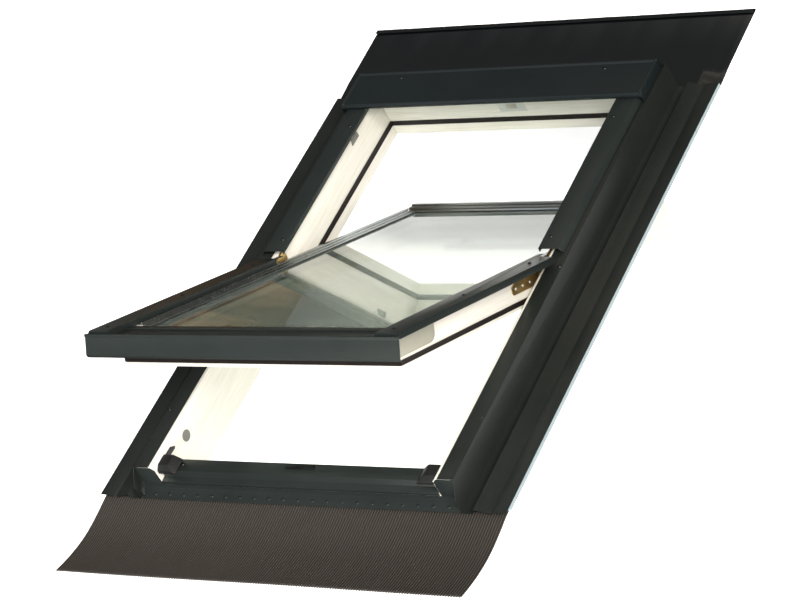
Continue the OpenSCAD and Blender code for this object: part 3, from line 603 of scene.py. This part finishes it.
def pleated_coat():
    """Matt brown-grey coat on pleated aluminium, painted lighter along the crests of the pleats."""
    material, output = new_material("pleated apron, matt brown-grey coat")
    tree = material.node_tree
    place = add_node(tree, "ShaderNodeTexCoord").outputs["Object"]
    crest = add_node(tree, "ShaderNodeAttribute", {"attribute_name": "crest"})
    cloud = add_node(tree, "ShaderNodeTexNoise", links={"Vector": place, "Scale": 11.0, "Detail": 5.0})
    emboss = add_node(tree, "ShaderNodeTexVoronoi", links={"Vector": place, "Scale": 420.0})
    film = add_node(tree, "ShaderNodeMix", {"data_type": "RGBA"},
                    {0: cloud.outputs["Fac"], 6: linear("#100E0C"), 7: linear("#1A1715")})
    # The crests of the pleats are painted lighter, up to 0.6 of the way to #5E564E.
    crest_lightening = add_node(tree, "ShaderNodeMapRange", links={"Value": crest.outputs["Fac"], "From Min": 0.55,
                                                      "To Min": 0.0, "To Max": 0.6})
    crest_lightened = add_node(tree, "ShaderNodeMix", {"data_type": "RGBA"},
                      {0: crest_lightening.outputs[0], 6: film.outputs[2], 7: linear("#5E564E")})
    relief = add_node(tree, "ShaderNodeBump", links={"Height": emboss.outputs["Distance"], "Strength": 0.4,
                                                     "Distance": 0.0003})
    sheet = add_node(tree, "ShaderNodeBsdfPrincipled", links={
        "Base Color": crest_lightened.outputs[2], "Roughness": 0.62, "Normal": relief.outputs[0]})
    tree.links.new(sheet.outputs[0], output.inputs["Surface"])
    return material


def math_node(tree, operation, *values):
    """The result of one sum in a geometry-nodes tree."""
    return add_node(tree, "ShaderNodeMath", {"operation": operation}, dict(enumerate(values))).outputs[0]


def skirt_tree(material):
    """Geometry nodes for the pleated skirt: a flat grid, bent to the skirt's long section and
    waved across by the pleats."""
    tree = bpy.data.node_groups.new("pleated skirt", "GeometryNodeTree")
    for name, kind in (("Base", "NodeSocketGeometry"), ("Width", "NodeSocketFloat"),
                       ("Length", "NodeSocketFloat"), ("Pleats", "NodeSocketInt"),
                       ("Pleat height", "NodeSocketFloat"), ("Top edge", "NodeSocketVector"),
                       ("Dip", "NodeSocketFloat"), ("Dip at", "NodeSocketFloat"),
                       ("Lift", "NodeSocketFloat"), ("Lap", "NodeSocketFloat"),
                       ("Edge sway", "NodeSocketFloat")):
        tree.interface.new_socket(name, in_out="INPUT", socket_type=kind)
    tree.interface.new_socket("Skirt", in_out="OUTPUT", socket_type="NodeSocketGeometry")
    given = add_node(tree, "NodeGroupInput").outputs
    facets = 6
    columns = math_node(tree, "MULTIPLY_ADD", given["Pleats"], facets, 1)
    rows = 30
    grid = add_node(tree, "GeometryNodeMeshGrid", links={
        "Size X": given["Width"], "Size Y": given["Length"], "Vertices X": columns, "Vertices Y": rows})
    spot = add_node(tree, "GeometryNodeInputPosition").outputs[0]
    axes = add_node(tree, "ShaderNodeSeparateXYZ", links={0: spot}).outputs
    top = math_node(tree, "SUBTRACT", math_node(tree, "MULTIPLY", given["Length"], 0.5), given["Lap"])
    down = math_node(tree, "MAXIMUM", math_node(tree, "SUBTRACT", top, axes["Y"]), 0.0)
    shown = math_node(tree, "SUBTRACT", given["Length"], given["Lap"])
    share = math_node(tree, "MINIMUM", math_node(tree, "DIVIDE", down, given["Dip at"]), 1.0)
    quarter = math_node(tree, "MULTIPLY", share, math.pi / 2)
    sag = math_node(tree, "MULTIPLY", math_node(tree, "SINE", quarter), given["Dip"])
    past = math_node(tree, "MAXIMUM", math_node(tree, "SUBTRACT", down, given["Dip at"]), 0.0)
    reach = math_node(tree, "SUBTRACT", shown, given["Dip at"])
    curl = math_node(tree, "POWER", math_node(tree, "DIVIDE", past, reach), 1.8)
    rise = math_node(tree, "MULTIPLY", curl, given["Lift"])
    per_metre = math_node(tree, "DIVIDE", given["Pleats"], given["Width"])
    phase = math_node(tree, "MULTIPLY", math_node(tree, "MULTIPLY", axes["X"], per_metre), 2 * math.pi)
    wave = math_node(tree, "SINE", phase)
    crest = math_node(tree, "MULTIPLY_ADD", wave, 0.5, 0.5)
    pleat = math_node(tree, "MULTIPLY", math_node(tree, "MULTIPLY", given["Pleat height"], 0.5), wave)
    sway_phase = math_node(tree, "MULTIPLY_ADD", axes["X"], 9.0, 0.8)
    fall = math_node(tree, "POWER", math_node(tree, "DIVIDE", down, shown), 2.0)
    swing = math_node(tree, "MULTIPLY", math_node(tree, "SINE", sway_phase), fall)
    sway = math_node(tree, "MULTIPLY", swing, given["Edge sway"])
    section = math_node(tree, "SUBTRACT", rise, sag)
    height = math_node(tree, "ADD", math_node(tree, "ADD", section, pleat), sway)
    move = add_node(tree, "ShaderNodeCombineXYZ", links={"Z": height})
    bent = add_node(tree, "GeometryNodeSetPosition", links={"Geometry": grid.outputs["Mesh"],
                                                            "Offset": move.outputs[0]})
    marked = add_node(tree, "GeometryNodeStoreNamedAttribute", {"data_type": "FLOAT", "domain": "POINT"},
                      {"Geometry": bent.outputs[0], "Name": "crest", "Value": crest})
    placed = add_node(tree, "GeometryNodeTransform", links={"Geometry": marked.outputs[0],
                                                            "Translation": given["Top edge"]})
    real = add_node(tree, "GeometryNodeRealizeInstances", links={"Geometry": placed.outputs[0]})
    finish = add_node(tree, "GeometryNodeSetMaterial", links={"Geometry": real.outputs[0],
                                                              "Material": material})
    add_node(tree, "NodeGroupOutput", links={"Skirt": finish.outputs[0]})
    return tree


skirt_low, skirt_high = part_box("apron_skirt")
skirt_length = skirt_high.y - skirt_low.y
skirt_foil = 0.0005
skirt_pleat = 0.0024
pleat_pitch = 0.0062
skirt_width = skirt_high.x - skirt_low.x
skirt_lap = 0.014     # how far the skirt runs under the flashing
skirt_edge_z = 0.0007  # its upper edge lies just under the apron
skirt_sizes = {
    "Width": skirt_width, "Length": skirt_length, "Pleats": round(skirt_width / pleat_pitch),
    "Pleat height": skirt_pleat, "Top edge": (0, (skirt_low.y + skirt_high.y) / 2, skirt_edge_z),
    "Dip": 0.007, "Dip at": 0.088, "Lift": 0.0215, "Lap": skirt_lap, "Edge sway": 0.0008}
skirt = from_tree("apron_skirt_pleated", skirt_tree(pleated_coat()), bpy.data.meshes.new("skirt_base"),
                  skirt_sizes, "frame", smooth=80)
thicken = skirt.modifiers.new("foil", "SOLIDIFY")
thicken.thickness = skirt_foil
thicken.offset = 0
skirt.data = bpy.data.meshes.new_from_object(skirt.evaluated_get(bpy.context.evaluated_depsgraph_get()))
skirt.modifiers.clear()
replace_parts(skirt, "apron_skirt")

# ---------------------------------------------------------------------------------------------
# The fixed covers: hood, upper side covers and sill cover, folded from 1.2 mm aluminium and
# powder coated anthracite. The sill cover carries a row of pressed dimples above the apron.
# ---------------------------------------------------------------------------------------------

cover_coat = coated_sheet("window covers, anthracite powder coat", "#1A2020", "#272D2C", 0.33, 0.8)
hood_coat = coated_sheet("hood, anthracite powder coat", "#111719", "#192022", 0.30, 0.8)
eased_copy("hood_cover", hood_coat, 0.0010, rounds=3)
for side in ("left", "right"):
    eased_copy(side + "_upper_cover", cover_coat, fold_radius)
eased_copy("sill_cover", cover_coat, fold_radius)
eased_copy("apron_flashing", cover_coat, fold_radius)
dark_screws = screw_tree(dark_steel)
screw_heads("cover_screws", lambda place: Vector((0, 0, 1)), dark_screws)


def dimple_tree(material):
    """Geometry nodes for a row of pressed dimples: shallow domes at an even pitch."""
    tree = bpy.data.node_groups.new("pressed dimples", "GeometryNodeTree")
    for name, kind in (("Base", "NodeSocketGeometry"), ("Count", "NodeSocketInt"),
                       ("First", "NodeSocketVector"), ("Pitch", "NodeSocketVector"),
                       ("Dome", "NodeSocketVector")):
        tree.interface.new_socket(name, in_out="INPUT", socket_type=kind)
    tree.interface.new_socket("Dimples", in_out="OUTPUT", socket_type="NodeSocketGeometry")
    given = add_node(tree, "NodeGroupInput").outputs
    row = add_node(tree, "GeometryNodeMeshLine", links={
        "Count": given["Count"], "Start Location": given["First"], "Offset": given["Pitch"]})
    dome = add_node(tree, "GeometryNodeMeshUVSphere", links={"Segments": 16, "Rings": 8, "Radius": 1.0})
    placed = add_node(tree, "GeometryNodeInstanceOnPoints", links={
        "Points": row.outputs[0], "Instance": dome.outputs["Mesh"], "Scale": given["Dome"]})
    real = add_node(tree, "GeometryNodeRealizeInstances", links={"Geometry": placed.outputs[0]})
    finish = add_node(tree, "GeometryNodeSetMaterial", links={"Geometry": real.outputs[0],
                                                              "Material": material})
    add_node(tree, "NodeGroupOutput", links={"Dimples": finish.outputs[0]})
    return tree


apron_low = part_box("apron_flashing")[0]
dimple_count = 21
dimple_pitch = 0.0365
dimple_line = apron_low.y + 0.011
dimple_foot_z = 0.0068  # a little below the upper face of the apron
dimple_sizes = {
    "Count": dimple_count, "First": (-dimple_pitch * (dimple_count - 1) / 2, dimple_line, dimple_foot_z),
    "Pitch": (dimple_pitch, 0, 0), "Dome": (0.0048, 0.0042, 0.0024)}
from_tree("apron_dimples", dimple_tree(cover_coat), bpy.data.meshes.new("dimple_base"), dimple_sizes,
          "frame", smooth=60)

# ---------------------------------------------------------------------------------------------
# The sash: two stiles and two rails in the same lacquered pine, grooved for the glass. The
# bottom rail has a nose that reaches out over the sill and throws the water clear.
# ---------------------------------------------------------------------------------------------

sash_open = 31.0
stile_lacquer = lacquered_pine("white satin lacquer on pine, grain along the sash", ("Y", sash_open))
rail_lacquer = lacquered_pine("white satin lacquer on pine, grain across the sash", ("X", sash_open))
for side in ("left", "right"):
    eased_copy(f"sash_{side}_stile", stile_lacquer, timber_edge)
for rail in ("sash_top_rail", "sash_bottom_rail"):
    eased_copy(rail, rail_lacquer, timber_edge)

# ---------------------------------------------------------------------------------------------
# The glazing: two panes of float glass on a hollow aluminium spacer, bedded on black gaskets and
# held from outside by stepped beads: grey ones at the sides, a coated one at the foot and a
# plain, higher one at the top.
# ---------------------------------------------------------------------------------------------


def float_glass():
    """Float glass with a thin hard coat that keeps heat in: it mirrors more than plain glass and has
    a faint green tint. Lamps shine through it."""
    material, output = new_material("float glass, hard coated")
    tree = material.node_tree
    place = add_node(tree, "ShaderNodeTexCoord").outputs["Object"]
    draw = add_node(tree, "ShaderNodeTexNoise", links={"Vector": place, "Scale": 2.5, "Detail": 1.0})
    relief = add_node(tree, "ShaderNodeBump", links={"Height": draw.outputs["Fac"], "Strength": 0.15,
                                                     "Distance": 0.0004})
    glass = add_node(tree, "ShaderNodeBsdfPrincipled", links={
        "Base Color": linear("#CED3CE"), "Roughness": 0.0, "IOR": 1.7, "Transmission Weight": 1.0,
        "Normal": relief.outputs[0]})
    clear = add_node(tree, "ShaderNodeBsdfTransparent", links={"Color": linear("#E4E8E4")})
    lamp_ray = add_node(tree, "ShaderNodeLightPath").outputs["Is Shadow Ray"]
    pane = add_node(tree, "ShaderNodeMixShader", links={0: lamp_ray, 1: glass.outputs[0],
                                                        2: clear.outputs[0]})
    tree.links.new(pane.outputs[0], output.inputs["Surface"])
    return material


def brushed_aluminium(name, drawn, dark, light, roughness):
    """Extruded aluminium, anodised: a soft metal sheen drawn out in fine lines along the piece."""
    material, output = new_material(name)
    tree = material.node_tree
    place = add_node(tree, "ShaderNodeTexCoord").outputs["Object"]
    scale = {"X": (6, 900, 900), "Y": (900, 6, 900)}[drawn]
    stretch = add_node(tree, "ShaderNodeMapping", links={"Vector": place, "Scale": scale})
    lines = add_node(tree, "ShaderNodeTexNoise", links={"Vector": stretch.outputs[0], "Scale": 1.0,
                                                        "Detail": 3.0})
    tone = add_node(tree, "ShaderNodeMix", {"data_type": "RGBA"},
                    {0: lines.outputs["Fac"], 6: linear(dark), 7: linear(light)})
    worn = add_node(tree, "ShaderNodeMapRange", links={
        "Value": lines.outputs["Fac"], "To Min": roughness - 0.05, "To Max": roughness + 0.08})
    metal = add_node(tree, "ShaderNodeBsdfPrincipled", links={
        "Base Color": tone.outputs[2], "Metallic": 1.0, "Roughness": worn.outputs[0]})
    tree.links.new(metal.outputs[0], output.inputs["Surface"])
    return material


glass = float_glass()
for pane in ("outer_pane", "inner_pane"):
    dress(pane, glass)
for gasket in ("inner_glazing_gasket", "outer_glazing_gasket"):
    dress(gasket, black_rubber)
dress("pane_spacer", brushed_aluminium("spacer, roll-formed aluminium", "X", "#9A9DA0", "#B9BCBE", 0.35))
bead_metal = brushed_aluminium("glazing beads, grey anodised aluminium", "Y", "#7A807F", "#A0A5A4", 0.24)
for bead in ("left_bead", "right_bead"):
    eased_copy(bead, bead_metal, 0.0004)
eased_copy("bottom_bead", cover_coat, 0.0004)
plain_aluminium = brushed_aluminium("top bead and control bar, anodised aluminium", "X",
                                    "#868C8C", "#AEB3B3", 0.28)
eased_copy("top_bead", plain_aluminium, 0.0005)

# ---------------------------------------------------------------------------------------------
# The sash claddings: folded powder-coated aluminium over the stiles and the nose of the bottom
# rail, with moulded cream caps clipped to the outer corners of the sash.
# ---------------------------------------------------------------------------------------------

for side in ("left", "right"):
    eased_copy(side + "_sash_cladding", cover_coat, fold_radius)
eased_copy("bottom_cladding", coated_sheet("bottom cladding, anthracite powder coat", "#1A2120", "#262C2B",
                                           0.5, 0.6), fold_radius)
# ABS, cream, injection moulded: an even satin skin.
cream_abs = moulded("cream ABS, injection moulded", "#908F81", "#A3A294", 0.36, 1.0, 0.02)
for side in ("left", "right"):
    eased_copy(side + "_corner_cap", cream_abs, 0.0008, rounds=3)
sash_way = Vector((0, math.sin(math.radians(sash_open)), math.cos(math.radians(sash_open))))
screw_heads("sash_screws", lambda place: sash_way, dark_screws)
dress("sash_seal", brown_rubber)

# ---------------------------------------------------------------------------------------------
# The pivot hinges: pressed steel halves, yellow zinc plated. The jamb half has an ear with a
# bore, and the sash half carries the turned pin on a long arm with three screws into the stile.
# ---------------------------------------------------------------------------------------------

yellow_zinc = plated_steel("pressed steel, yellow zinc plate", "#8A6E3C", "#CDB57A", 0.30)
for side in ("left", "right"):
    eased_copy(side + "_frame_hinge", yellow_zinc, 0.0003)
    eased_copy(side + "_sash_hinge", yellow_zinc, 0.0003)
sash_along = Vector((0, sash_way.z, -sash_way.y))
arm_screw_line = 0.012                    # above the lower edge of the arm
arm_screw_places = (0.014, 0.042, 0.070)  # from the arm's lower end
sunk = 0.0007                             # how far the heads sit in the arm's countersinks
for side, outward in (("left", Vector((-1, 0, 0))), ("right", Vector((1, 0, 0)))):
    arm = frame["nodes"][side + "_sash_hinge"].data.vertices
    arm_face = sorted({round(v.co.dot(outward), 4) for v in arm})[1]
    arm_low = min(v.co.dot(sash_along) for v in arm)
    arm_foot = min(v.co.dot(sash_way) for v in arm)
    screw_line = outward * (arm_face - sunk) + sash_way * (arm_foot + arm_screw_line)
    places = [screw_line + sash_along * (arm_low + along) for along in arm_screw_places]
    set_screws(side + "_hinge_screws", places, [outward] * len(places), "sash", zinc_screws)

# ---------------------------------------------------------------------------------------------
# The control bar and latch: a round aluminium bar that turns on two steel brackets under the top
# rail, and a flat steel bolt that it draws out of the striker in the frame's head.
# ---------------------------------------------------------------------------------------------

eased_copy("bar_brackets", bright_zinc, 0.0004)
eased_copy("control_bar", plain_aluminium, 0.0004)
eased_copy("latch_bolt", bright_zinc, 0.0006)
